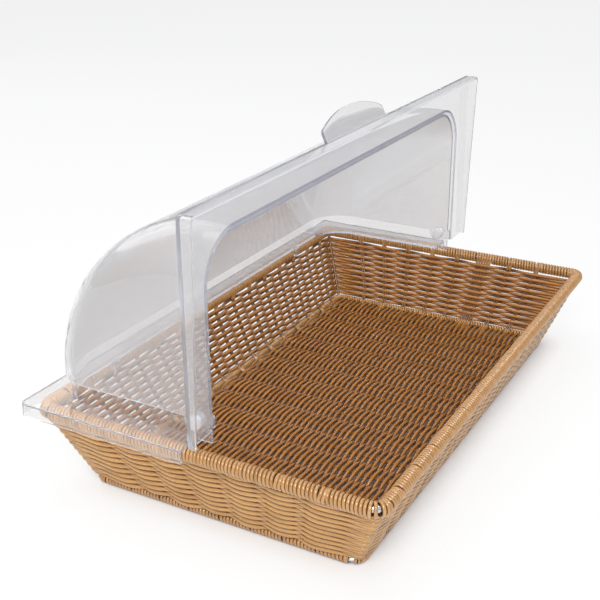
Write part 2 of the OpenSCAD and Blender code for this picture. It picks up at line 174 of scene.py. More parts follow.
class BasketSizes(bpy.types.PropertyGroup):
    """Rings, stakes and strands of the basket."""
    rim_length: length("Rim length", "Rim wire from centre to centre, along X",
                       2 * RIM_HIGH.x - RIM_WIRE)
    rim_width: length("Rim width", "Rim wire from centre to centre, along Y",
                      2 * RIM_HIGH.y - RIM_WIRE)
    rim_height: length("Rim height", "Centre of the rim wire above the table",
                       (RIM_LOW.z + RIM_HIGH.z) / 2)
    rim_roll: length("Rim roll", "Thickness of the rim over its winding",
                     RIM_ROLL_HIGH.z - RIM_ROLL_LOW.z)
    base_length: length("Base length", "Base wire from centre to centre, along X",
                        2 * BASE_HIGH.x - BASE_WIRE)
    base_width: length("Base width", "Base wire from centre to centre, along Y",
                       2 * BASE_HIGH.y - BASE_WIRE)
    base_height: length("Base height", "Centre of the base wire above the table",
                        (BASE_LOW.z + BASE_HIGH.z) / 2)
    base_roll: length("Base roll", "Thickness of the base ring over its winding",
                      BASE_ROLL_HIGH.z - BASE_ROLL_LOW.z)
    bend: length("Bend", "Bend radius of both wires at the corners", 10 * MM)
    coil: length("Coil strand", "Thickness of the strand wound round the rim", 3.2 * MM)
    coil_pitch: length("Coil pitch", "From one turn of a winding to the next", 3.3 * MM)
    coil_width: ratio("Coil width", "Width of a wound strand, as a share of its pitch", 0.97)
    sag: ratio("Sag", "Height of the left rim's winding, as a share of the others'", 1.12)
    widening: ratio("Widening", "Width of the left rim's winding, as a share of the others'", 1.06)
    base_coil: length("Base coil strand", "Thickness of the strand wound round the base", 2.3 * MM)
    weaver: length("Weaver", "Thickness of a weaver strand where it crosses over", 3.25 * MM)
    fullness: ratio("Fullness", "Thickness where a weaver passes outside a stake, as a share", 1.32)
    inner_fullness: ratio("Inner fullness", "Thickness where it passes inside a stake, as a share", 1.1)
    row_pitch: length("Row pitch", "From one weaver row to the next up the wall", 2.97 * MM)
    first_row: length("First row", "Height of the lowest weaver row", 9.4 * MM)
    rows: IntProperty(name="Rows", description="Weaver rows up the wall", default=21, min=1)
    swing: length("Swing", "How far a weaver swings out of the wall at a stake", 2.7 * MM)
    inner_swing: length("Inner swing", "How far a weaver swings into the basket at a stake", 1.8 * MM)
    ease: ratio("Ease", "Swing of the right wall's weavers, as a share of the others'", 0.65)
    droop: length("Droop", "How much lower a weaver lies where it passes outside a stake", 0.5 * MM)
    post_swing: length("Post swing", "How far a weaver swings around a corner post", 3.2 * MM)
    floor_pitch: length("Floor pitch", "From one weaver row to the next in the floor", 2.95 * MM)
    floor_weaver: length("Floor weaver", "Thickness of a floor strand", 2.95 * MM)
    floor_fullness: ratio("Floor fullness", "Thickness of a floor strand at a stake, as a share", 1.05)
    floor_level: length("Floor level", "Height of the floor's middle", 4.42 * MM)
    floor_swing: length("Floor swing", "How far a floor weaver swings at a stake", 2.5 * MM)
    seat: length("Seat", "Gap between the floor's strands and the base winding", 0.3 * MM)
    stake: length("Stake", "Thickness of a stake rod", 2.5 * MM)
    post: length("Post", "Thickness of a corner post", 3.2 * MM)
    rod_gap: length("Rod gap", "Gap between the rods of a stake", 0.12 * MM)
    floor_rod_gap: length("Floor rod gap", "The same gap in the floor", 0.15 * MM)
    rod_reach: length("Rod reach", "How far in from the base wire a stake meets the floor's rods",
                      18 * MM)
    straight_end: length("Straight end", "Where a stake begins to bend, from the table and from the rim",
                         15 * MM)
    base_slit: length("Base slit", "Gap in the base winding at a stake", 1 * MM)
    long_pitch: length("Long pitch", "Between stakes along the long sides, at the base", 30 * MM)
    short_pitch: length("Short pitch", "Between stakes along the short sides, at the base", 30.2 * MM)
    long_stakes: IntProperty(name="Long stakes", default=7, min=1,
                             description="Stakes each side of the middle, long sides")
    short_stakes: IntProperty(name="Short stakes", default=3, min=1,
                              description="Stakes each side of the middle, short sides")


class Finishes(bpy.types.PropertyGroup):
    """Colours and finish of the materials."""
    wicker: colour("Wicker", "Honey brown strand, outside", (0.54, 0.295, 0.105))
    winding: colour("Winding", "Strand wound round the rim and base", (0.50, 0.262, 0.09))
    # Painted shade: the inner wicker tone is a darker, more saturated copy of the wicker tone, for
    # strands in the shade inside the basket
    wicker_in_shade: colour("Inner wicker", "Deeper orange brown strand, inside", (0.41, 0.168, 0.034))
    steel: colour("Steel", "Drawn wire", (0.72, 0.73, 0.75))
    clear: colour("Clear", "Clear moulded plastic", (0.885, 0.88, 0.872))
    clear_depth: colour("Clear depth", "Tint along the clear plastic's edges", (0.55, 0.57, 0.74))
    depth_density: ratio("Depth density", "Strength of that tint", 22)
    hood_haze: ratio("Hood haze", "Greatest roughness of the hoods", 0.04)
    fitting_haze: ratio("Fitting haze", "Greatest roughness of the pins and caps", 0.16)
    winding_coat: ratio("Winding coat", "Gloss over the wound strands", 0.9)
    weave_coat: ratio("Weave coat", "Gloss over the woven strands", 0.5)


class StageSettings(bpy.types.PropertyGroup):
    """Camera, floor and sky."""
    camera_place: FloatVectorProperty(name="Camera", description="Where the camera stands", size=3,
                                      default=(-0.8358, -0.4136, 0.5080), subtype="TRANSLATION")
    azimuth: FloatProperty(name="Azimuth", description="Heading of the camera round the part",
                           default=math.radians(-60.84), subtype="ANGLE")
    elevation: FloatProperty(name="Elevation", description="How far the camera looks down",
                             default=math.radians(23.02), subtype="ANGLE")
    roll: FloatProperty(name="Roll", description="Roll of the camera", default=math.radians(-0.33),
                        subtype="ANGLE")
    lens: FloatProperty(name="Lens", description="Focal length on a 36 mm sensor", default=62.55,
                        unit="CAMERA")
    floor_colour: colour("Floor", "Pale floor", (0.93, 0.93, 0.93))
    # Painted shadow colour for the floor under the basket
    floor_shade: colour("Floor shade", "Floor right under the basket", (0.08, 0.045, 0.025))
    shade_reach: length("Shade reach", "How near a piece has to be to shade the floor", 25 * MM)
    floor_glow: ratio("Floor glow", "Share of its own light in the open floor", 0.8)
    sky: ratio("Sky", "Strength of the sky's light on the part", 0.44)
    sky_seen: ratio("Sky seen", "Strength of the sky in the picture and through the cover", 0.95)
    bounces: IntProperty(name="Bounces", description="How often light may pass from piece to piece",
                         default=24, min=1)


# ---- Shapes of the basket ----

def share(sizes, z):
    """0 at the base wire, 1 at the rim wire."""
    return (z - sizes.base_height) / (sizes.rim_height - sizes.base_height)


def is_long(side):
    """The front and rear run along X, the left and right along Y."""
    return side in ("front", "rear")


def half_out(sizes, side, z):
    """How far out a side's wall is at height z."""
    if is_long(side):
        base, rim = sizes.base_width, sizes.rim_width
    else:
        base, rim = sizes.base_length, sizes.rim_length
    return (base + (rim - base) * share(sizes, z)) / 2


def half_run(sizes, side, z):
    """Half the length of a side's wall at height z."""
    return half_out(sizes, "left" if is_long(side) else "rear", z)


def stakes(sizes, side):
    """Places of a side's stakes along it at the base, and how many rods make up each.
    The right side has one stake more than the left, in the same run."""
    if is_long(side):
        return [(k * sizes.long_pitch, PAIR) for k in range(-sizes.long_stakes, sizes.long_stakes + 1)]
    if side == "left":
        return [(k * sizes.short_pitch, WIDE_LEFT if k == 0 else PAIR)
                for k in range(-sizes.short_stakes, sizes.short_stakes + 1)]
    pitch = sizes.short_pitch * 2 * sizes.short_stakes / (2 * sizes.short_stakes + 1)
    return [((k + 0.5) * pitch, WIDE_RIGHT if k == 1 else PAIR)
            for k in range(-sizes.short_stakes - 1, sizes.short_stakes + 1)]


def fanned(sizes, side, u, z):
    """Where something that stands at u at the base is at height z. The wall fans out."""
    spread = half_run(sizes, side, sizes.rim_height) / half_run(sizes, side, sizes.base_height) - 1
    return u * (1 + spread * share(sizes, z))


def on_side(side, u, out, z):
    """A point on a side: u along it and out from the basket's middle."""
    point = Matrix.Rotation(SIDE_TURNS[side], 3, "Z") @ Vector((u, out, 0))
    return Vector((point.x, point.y, z))


def ring_sizes(sizes, ring):
    """Length, width and height of a ring's wire, its thickness over the winding, and the strand's."""
    if ring == "rim":
        return sizes.rim_length, sizes.rim_width, sizes.rim_height, sizes.rim_roll, sizes.coil
    return sizes.base_length, sizes.base_width, sizes.base_height, sizes.base_roll, sizes.base_coil


def corner_inset(sizes):
    """How far the middle of a bend lies inside the corner that its two sides would make."""
    return sizes.bend * (1 - math.cos(math.radians(45)))


# ---- Modelling helpers ----

def deselect():
    """Leaves edit mode and selects nothing."""
    if bpy.context.object and bpy.context.object.mode != "OBJECT":
        bpy.ops.object.mode_set(mode="OBJECT")
    bpy.ops.object.select_all(action="DESELECT")


def pick(*pieces):
    """Selects only these pieces and makes the first one active."""
    deselect()
    for piece in pieces:
        piece.select_set(True)
    bpy.context.view_layer.objects.active = pieces[0]


def knot(point, along, before, after, thick=1.0):
    """A point of a strand, its two handles and its share of the strand's thickness."""
    along = along.normalized()
    return point, point - along * before, point + along * after, thick


def move_knot(bend, place):
    """A knot with its point and handles put through the function place."""
    point, before, after, thick = bend
    return place(point), place(before), place(after), thick


def lay_strands(name, runs, thickness, steps):
    """Round strands along runs of knots, made one mesh with closed ends."""
    deselect()
    bpy.ops.curve.primitive_bezier_curve_add()
    strands = bpy.context.object
    strands.name = name
    curve = strands.data
    curve.splines.clear()
    curve.dimensions = "3D"
    curve.bevel_depth = thickness / 2
    curve.bevel_resolution = (STRAND_SIDES - 4) // 2
    curve.use_fill_caps = True
    curve.resolution_u = steps
    for run in runs:
        spline = curve.splines.new("BEZIER")
        spline.bezier_points.add(len(run) - 1)
        for bend, (point, before, after, thick) in zip(spline.bezier_points, run):
            bend.handle_left_type = bend.handle_right_type = "FREE"
            bend.co, bend.handle_left, bend.handle_right = point, before, after
            bend.radius = thick
    bpy.ops.object.convert(target="MESH")
    bpy.ops.object.shade_smooth()
    return bpy.context.object


def join(name, pieces):
    """Makes one object of the pieces."""
    pick(*pieces)
    bpy.ops.object.join()
    bpy.context.object.name = name
    return bpy.context.object


def settle(piece):
    """Puts a finished piece's place into its mesh, with its faces outwards."""
    pick(piece)
    bpy.ops.object.transform_apply(location=True, rotation=True, scale=True)
    bpy.ops.object.mode_set(mode="EDIT")
    bpy.ops.mesh.select_all(action="SELECT")
    bpy.ops.mesh.normals_make_consistent(inside=False)
    bpy.ops.object.mode_set(mode="OBJECT")


def record(piece, name, value_at):
    """Keeps a value from 0 to 1 for each vertex, which the wicker materials turn into painted shade:
    depth is 0 deep in the weave, where the painted shade is darkest, and 1 on its face; inward is 1 on
    the side that faces into the basket, where painted shade deepens the tone."""
    kept = piece.data.attributes.new(name, "FLOAT", "POINT")
    kept.data.foreach_set("value", [min(max(value_at(v.co), 0), 1) for v in piece.data.vertices])


def fit(piece, body, material, slot, *nodes):
    """Gives a piece its finish, its body and the CAD nodes that it stands for."""
    piece.data.materials.clear()
    piece.data.materials.append(material)
    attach(piece, body)
    if nodes:
        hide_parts(*nodes)


# ---- Materials ----

def new_material(name):
    """The material of this name, and its node tree if it is new."""
    material = bpy.data.materials.get(name)
    if material:
        return material, None
    material = bpy.data.materials.new(name)
    material.use_nodes = True
    return material, material.node_tree


def put(node, name, value):
    """Sets an input of a node."""
    node.inputs[name].default_value = value


def pattern(tree, scale, detail=2.0):
    """Noise on the piece's own coordinates, stretched by scale on each axis."""
    place = tree.nodes.new("ShaderNodeTexCoord")
    stretch = tree.nodes.new("ShaderNodeMapping")
    put(stretch, "Scale", scale)
    noise = tree.nodes.new("ShaderNodeTexNoise")
    put(noise, "Scale", 1.0)
    put(noise, "Detail", detail)
    tree.links.new(place.outputs["Object"], stretch.inputs["Vector"])
    tree.links.new(stretch.outputs["Vector"], noise.inputs["Vector"])
    return noise.outputs["Fac"]


def spread_of(tree, factor, low, high):
    """Spreads a pattern between two values."""
    spread = tree.nodes.new("ShaderNodeMapRange")
    put(spread, "From Min", 0.3)
    put(spread, "From Max", 0.7)
    put(spread, "To Min", low)
    put(spread, "To Max", high)
    tree.links.new(factor, spread.inputs["Value"])
    return spread.outputs["Result"]


def roughen(tree, surface, height, strength, distance):
    """Raises a surface's shading by a pattern."""
    bump = tree.nodes.new("ShaderNodeBump")
    put(bump, "Strength", strength)
    put(bump, "Distance", distance)
    tree.links.new(height, bump.inputs["Height"])
    tree.links.new(bump.outputs["Normal"], surface.inputs["Normal"])


def colour_mix(tree, blend="MIX"):
    """A node that mixes two colours, A and B."""
    mix = tree.nodes.new("ShaderNodeMix")
    mix.data_type = "RGBA"
    mix.blend_type = blend
    return mix


def wicker(name, tone, across, coat):
    """Round plastic strand. Across is the axis over which one strand follows the next.
    It gets painted shade deep in the weave, and a darker, deeper-toned painted shade where it faces
    inwards."""
    material, tree = new_material(name)
    if tree is None:
        return material
    surface = tree.nodes["Principled BSDF"]
    scale = [STREAKS_ALONG] * 3
    scale["XYZ".index(across)] = STREAKS_ACROSS
    shades = tree.nodes.new("ShaderNodeValToRGB")
    dark = [c * k for c, k in zip(tone, DARK_STREAK)]
    light = [c * k for c, k in zip(tone, LIGHT_STREAK)]
    shades.color_ramp.elements[0].position = 0.25
    shades.color_ramp.elements[0].color = (*dark, 1)
    shades.color_ramp.elements[1].position = 0.75
    shades.color_ramp.elements[1].color = (*light, 1)
    middle = shades.color_ramp.elements.new(0.5)
    middle.color = (*tone, 1)
    tree.links.new(pattern(tree, scale, 3.0), shades.inputs["Fac"])

    # Painted shade: the depth value darkens the strand deep in the weave
    depth = tree.nodes.new("ShaderNodeAttribute")
    depth.attribute_name = "depth"
    shade = tree.nodes.new("ShaderNodeValToRGB")
    shade.color_ramp.elements[0].color = DEEP_SHADE
    shade.color_ramp.elements[1].position = 0.8
    darken = colour_mix(tree, "MULTIPLY")
    put(darken, "Factor", 1.0)
    tree.links.new(depth.outputs["Fac"], shade.inputs["Fac"])
    tree.links.new(shades.outputs["Color"], darken.inputs["A"])
    tree.links.new(shade.outputs["Color"], darken.inputs["B"])

    # Painted shade: the side of a strand that faces into the basket is darkened and deepened in tone
    inward_shade = tree.nodes.new("ShaderNodeAttribute")
    inward_shade.attribute_name = "inward_shade"
    shade_inwards = colour_mix(tree, "MULTIPLY")
    put(shade_inwards, "B", INWARD_SHADE)
    tree.links.new(inward_shade.outputs["Fac"], shade_inwards.inputs["Factor"])
    tree.links.new(darken.outputs["Result"], shade_inwards.inputs["A"])
    tree.links.new(shade_inwards.outputs["Result"], surface.inputs["Base Color"])

    rough = spread_of(tree, pattern(tree, [120.0] * 3), 0.22, 0.34)
    tree.links.new(rough, surface.inputs["Roughness"])
    put(surface, "Specular IOR Level", 0.5)
    put(surface, "Coat Weight", coat)
    put(surface, "Coat Roughness", 0.1)
    roughen(tree, surface, pattern(tree, [500.0] * 3), 0.12, 0.12 * MM)
    return material


def steel_wire(name, tone):
    """Bright drawn steel."""
    material, tree = new_material(name)
    if tree is None:
        return material
    surface = tree.nodes["Principled BSDF"]
    put(surface, "Base Color", (*tone, 1))
    put(surface, "Metallic", 1.0)
    rough = spread_of(tree, pattern(tree, [400.0] * 3), 0.18, 0.34)
    tree.links.new(rough, surface.inputs["Roughness"])
    return material


def clear_plastic(name, tone, depth, density, haze):
    """Clear moulding that darkens along its edges and lets the lamps through."""
    material, tree = new_material(name)
    if tree is None:
        return material
    surface = tree.nodes["Principled BSDF"]
    put(surface, "Base Color", (*tone, 1))
    put(surface, "Transmission Weight", 0.91)
    put(surface, "IOR", 1.49)
    rough = spread_of(tree, pattern(tree, [18.0] * 3), 0.0, haze)
    tree.links.new(rough, surface.inputs["Roughness"])
    roughen(tree, surface, pattern(tree, [22.0] * 3, 1.0), 0.05, 0.4 * MM)
    rays = tree.nodes.new("ShaderNodeLightPath")
    through = tree.nodes.new("ShaderNodeBsdfTransparent")
    put(through, "Color", (0.94, 0.95, 0.96, 1))
    lamps = tree.nodes.new("ShaderNodeMixShader")
    tree.links.new(rays.outputs["Is Shadow Ray"], lamps.inputs["Fac"])
    tree.links.new(surface.outputs["BSDF"], lamps.inputs[1])
    tree.links.new(through.outputs["BSDF"], lamps.inputs[2])
    inside = tree.nodes.new("ShaderNodeVolumeAbsorption")
    put(inside, "Color", (*depth, 1))
    put(inside, "Density", density)
    output = tree.nodes["Material Output"]
    tree.links.new(lamps.outputs["Shader"], output.inputs["Surface"])
    tree.links.new(inside.outputs["Volume"], output.inputs["Volume"])
    return material


# ---- Operators ----

class BREADBIN_OT_wind_rings(bpy.types.Operator):
    """Wind the strand round the rim and base wires, one run of turns between each two stakes"""
    bl_idname = "breadbin.wind_rings"
    bl_label = "Wind the Rings"

    def execute(self, context):
        sizes = context.scene.basket_sizes
        looks = context.scene.finishes
        for side in SIDES:
            across = "X" if is_long(side) else "Y"
            coils = wicker("wicker_coils_" + across, looks.winding, across, looks.winding_coat)
            for ring in ("rim", "base"):
                winding = self.wind_side(sizes, side, ring)
                fit(winding, "basket", coils, "outer_wicker", f"{ring}_wrap_{side}")
        return {"FINISHED"}

    def wind_side(self, sizes, side, ring):
        """The runs of one side of a ring. The left rim's sags and widens."""
        height, roll, coil = ring_sizes(sizes, ring)[2:]
        end = half_run(sizes, side, height) - sizes.bend
        starts, stops = [-end], []
        for foot, rods in stakes(sizes, side):
            u = fanned(sizes, side, foot, height)
            room = rods * sizes.coil_pitch if ring == "rim" else sizes.base_slit
            stops.append(u - room / 2)
            starts.append(u + room / 2)
        stops.append(end)
        runs = []
        for start, stop in zip(starts, stops):
            turns = max(1, round((stop - start) / sizes.coil_pitch))
            width = sizes.coil_width * (stop - start) / turns
            runs.append(self.wind_run(start, stop - start, turns, (roll - coil) / 2, coil, width))
        winding = join(f"{ring}_winding_{side}", runs)
        winding.rotation_euler = (0, 0, SIDE_TURNS[side])
        winding.location = on_side(side, 0, half_out(sizes, side, height), height)
        if ring == "rim" and side == "left":
            winding.scale = (1, sizes.widening, sizes.sag)
            winding.location.z -= roll / 2 * (sizes.sag - 1)
        settle(winding)
        return winding

    def wind_run(self, start, run, turns, radius, coil, width):
        """Turns of strand along X, begun and ended under the wire. The strand's section is coil high
        and width wide."""
        deselect()
        bpy.ops.mesh.primitive_circle_add(vertices=STRAND_SIDES, radius=coil / 2,
                                          location=(start, 0, -radius),
                                          rotation=(math.pi / 2, 0, 0))
        strand = bpy.context.object
        strand.scale = (width / coil, 1, 1)
        bpy.ops.object.transform_apply(location=True, rotation=True)
        screw = strand.modifiers.new("Turns", "SCREW")
        screw.axis = "X"
        screw.angle = math.tau
        screw.screw_offset = run / turns
        screw.iterations = turns
        screw.steps = screw.render_steps = TURN_STEPS
        bpy.ops.object.modifier_apply(modifier=screw.name)
        bpy.ops.object.mode_set(mode="EDIT")
        bpy.ops.mesh.select_mode(type="EDGE")
        bpy.ops.mesh.select_all(action="DESELECT")
        bpy.ops.mesh.select_non_manifold()
        bpy.ops.mesh.fill_holes(sides=STRAND_SIDES)
        bpy.ops.object.mode_set(mode="OBJECT")
        bpy.ops.object.shade_smooth()
        # Painted shade in the grooves between turns: darker towards the wire
        record(strand, "depth", lambda p: (math.hypot(p.y, p.z) - radius) / (0.45 * coil) - 0.05)
        return strand


class BREADBIN_OT_loop_corners(bpy.types.Operator):
    """Loop loose turns of strand round the four bends of the rim and of the base"""
    bl_idname = "breadbin.loop_corners"
    bl_label = "Loop the Corners"

    def execute(self, context):
        sizes = context.scene.basket_sizes
        rim, base = [], []
        chance = random.Random(LOOP_SEED)
        for sx, sy in ((1, 1), (-1, 1), (-1, -1), (1, -1)):
            near = sx < 0 and sy < 0
            sag = sizes.sag if near else 1
            for angle in RIM_LOOPS_NEAR if near else RIM_LOOPS:
                rim.append(self.loop(sizes, sx, sy, "rim", angle, chance, sag))
            for angle in BASE_LOOPS_NEAR if near else BASE_LOOPS:
                base.append(self.loop(sizes, sx, sy, "base", angle, chance, 1))
        looks = context.scene.finishes
        coils = wicker("wicker_coils_X", looks.winding, "X", looks.winding_coat)
        for name, loops, nodes in (("rim_corner_loops", rim, ["rim_corner_wraps"]),
                                   ("base_corner_loops", base, [])):
            corners = join(name, loops)
            settle(corners)
            fit(corners, "basket", coils, "outer_wicker", *nodes)
        return {"FINISHED"}

    def loop(self, sizes, sx, sy, ring, angle, chance, sag):
        """One turn round the bend on the sx, sy side, angle degrees from X. Sag makes it hang lower."""
        along_x, along_y, height, roll, coil = ring_sizes(sizes, ring)
        radius = (roll - coil) / 2
        centre = Vector((sx * (along_x / 2 - sizes.bend), sy * (along_y / 2 - sizes.bend), height))
        turn = math.radians(angle + chance.uniform(-STRAY_DEGREES, STRAY_DEGREES))
        way = Vector((sx * math.cos(turn), sy * math.sin(turn), 0))
        place = centre + way * sizes.bend
        place.z -= roll / 2 * (sag - 1)
        deselect()
        lean = math.pi / 2 + chance.uniform(-STRAY_LEAN, STRAY_LEAN)
        heading = math.atan2(way.y, way.x) + chance.uniform(-STRAY_TWIST, STRAY_TWIST)
        bpy.ops.mesh.primitive_torus_add(major_segments=LOOP_STEPS, minor_segments=STRAND_SIDES,
                                         major_radius=radius, minor_radius=coil / 2,
                                         location=place, rotation=(lean, 0, heading))
        # Painted shade in the grooves of a loop: darker towards the wire
        record(bpy.context.object, "depth", lambda p: (math.hypot(p.x, p.y) - radius) / (0.4 * coil))
        bpy.context.object.scale = (1, sag, 1)
        bpy.ops.object.transform_apply(scale=True, location=False, rotation=False)
        bpy.ops.object.shade_smooth()
        return bpy.context.object


class BREADBIN_OT_weave_walls(bpy.types.Operator):
    """Weave the rows of round strand in front of and behind the stakes of each wall"""
    bl_idname = "breadbin.weave_walls"
    bl_label = "Weave the Walls"

    def execute(self, context):
        sizes = context.scene.basket_sizes
        looks = context.scene.finishes
        for side in SIDES:
            chance = random.Random(WALL_SEED + SIDES.index(side))
            rows = [self.row(sizes, side, row, chance) for row in range(sizes.rows)]
            weave = lay_strands(f"wall_weave_{side}", rows, sizes.weaver, WALL_STEPS)
            settle(weave)
            # Painted shade: darker where a strand lies deep in the wall, darker and deeper in tone on
            # its side that faces in
            record(weave, "depth", lambda p: abs(self.out_of_wall(sizes, p)) - 0.15)
            record(weave, "inward_shade", lambda p: 0.5 - self.out_of_wall(sizes, p))
            fit(weave, "basket", wicker("wicker_rows", looks.wicker, "Z", looks.weave_coat),
                "outer_wicker", "weave_" + side)
        return {"FINISHED"}

    def row(self, sizes, side, row, chance):
        """Knots of one row, which passes outside and inside the side's stakes by turns."""
        z = sizes.first_row + row * sizes.row_pitch
        wall = half_out(sizes, side, z)
        places = [fanned(sizes, side, foot, z) for foot, _ in stakes(sizes, side)]
        out = 1 if row % 2 == 0 else -1
        ease = sizes.ease if side == "right" else 1
        turn = WEAVER_AT_STAKE * sizes.short_pitch
        middle = []
        for i, u in enumerate(places):
            outside = out * (-1) ** i > 0
            w = ease * (sizes.swing if outside else -sizes.inner_swing)
            w += chance.uniform(-STRAY_SWING, STRAY_SWING)
            if i:
                bay = u - places[i - 1]
                slope = Vector((bay, WEAVER_SLOPE * w))
                half_way = WEAVER_HALF_WAY * bay
                middle.append(knot(Vector((u - bay / 2, 0)), slope, half_way, half_way))
            thick = sizes.fullness if outside else sizes.inner_fullness
            middle.append(knot(Vector((u, w)), Vector((1, 0)), turn, turn, thick))
        half = half_run(sizes, side, z)
        right = self.corner(sizes, half, out * (-1) ** (len(places) - 1))
        left = [(Vector((-p.x, p.y)), Vector((-a.x, a.y)), Vector((-b.x, b.y)), thick)
                for p, b, a, thick in reversed(self.corner(sizes, half, out))]
        rise = [chance.uniform(-STRAY_HEIGHT, STRAY_HEIGHT) - sizes.droop * bend[0].y / sizes.swing
                for bend in middle]
        rise = [0.0] * len(left) + rise + [0.0] * len(right)
        return [move_knot(bend, lambda p, up=up: on_side(side, p.x, wall + p.y, z + up))
                for bend, up in zip(left + middle + right, rise)]

    def out_of_wall(self, sizes, p):
        """How far outside the walls' middle a point is, as a share of half a strand."""
        over_x = abs(p.x) - half_out(sizes, "left", p.z) + sizes.bend
        over_y = abs(p.y) - half_out(sizes, "rear", p.z) + sizes.bend
        out = math.hypot(over_x, over_y) if over_x > 0 and over_y > 0 else max(over_x, over_y)
        return (out - sizes.bend) / (sizes.weaver / 2)

    def corner(self, sizes, half, last):
        """Knots around a corner post, a little closer in when the last stake is passed outside."""
        inset = corner_inset(sizes)
        swing = sizes.post_swing * (POST_CLOSER if last > 0 else 1)
        post = Vector((half - inset, -inset))
        arc = 4 / 3 * math.tan(math.radians(45) / 4) * swing
        lead = 8 * MM
        tip = 0.2 * MM
        return [knot(post + Vector((0, swing)), Vector((1, 0)), lead, arc),
                knot(post + Vector((1, 1)).normalized() * swing, Vector((1, -1)), arc, tip)]


class BREADBIN_OT_weave_floor(bpy.types.Operator):
    """Weave the floor's strands over and under its stakes"""
    bl_idname = "breadbin.weave_floor"
    bl_label = "Weave the Floor"

    def execute(self, context):
        sizes = context.scene.basket_sizes
        looks = context.scene.finishes
        chance = random.Random(FLOOR_SEED)
        edge = (sizes.base_width - sizes.base_roll) / 2 - sizes.seat - sizes.floor_weaver / 2
        lines = math.floor(edge / sizes.floor_pitch)
        rows = [self.row(sizes, row, chance) for row in range(-lines, lines + 1)]
        weave = lay_strands("floor_strands", rows, sizes.floor_weaver, FLOOR_STEPS)
        settle(weave)
        # Painted shade: floor strands darken where they pass under, darkest at and below the floor's
        # middle
        darkest = sizes.floor_level + 0.2 * MM
        record(weave, "depth", lambda p: (p.z - darkest) / (2.2 * MM))
        # The floor takes the inner wicker tone, which is painted shade
        fit(weave, "basket", wicker("wicker_floor", looks.wicker_in_shade, "Y", looks.weave_coat),
            "inner_wicker", "floor_weave")
        return {"FINISHED"}

    def row(self, sizes, row, chance):
        """Knots of one row, which passes over and under the floor's stakes by turns."""
        y = row * sizes.floor_pitch
        out = 1 if abs(row) % 2 == 0 else -1
        reach = (sizes.base_length - sizes.base_roll) / 2 - sizes.seat
        turn = FLOOR_AT_STAKE * sizes.long_pitch
        bends = []
        for k in range(-sizes.long_stakes, sizes.long_stakes + 1):
            sign = out * (1 if abs(k) % 2 == 0 else -1)
            x = k * sizes.long_pitch
            swing = sizes.floor_swing + chance.uniform(-STRAY_HEIGHT, STRAY_HEIGHT)
            sway = chance.uniform(-STRAY_SIDEWAYS, STRAY_SIDEWAYS)
            place = Vector((x, y + sway, sizes.floor_level + sign * swing))
            bends.append(knot(place, Vector((1, 0, 0)), turn, turn, sizes.floor_fullness))
        tail = sizes.floor_level - out * sizes.floor_swing / 2
        first = knot(Vector((-reach, y, tail)), Vector((1, 0, 0)), 5 * MM, 9 * MM)
        last = knot(Vector((reach, y, tail)), Vector((1, 0, 0)), 9 * MM, 5 * MM)
        return [first] + bends + [last]


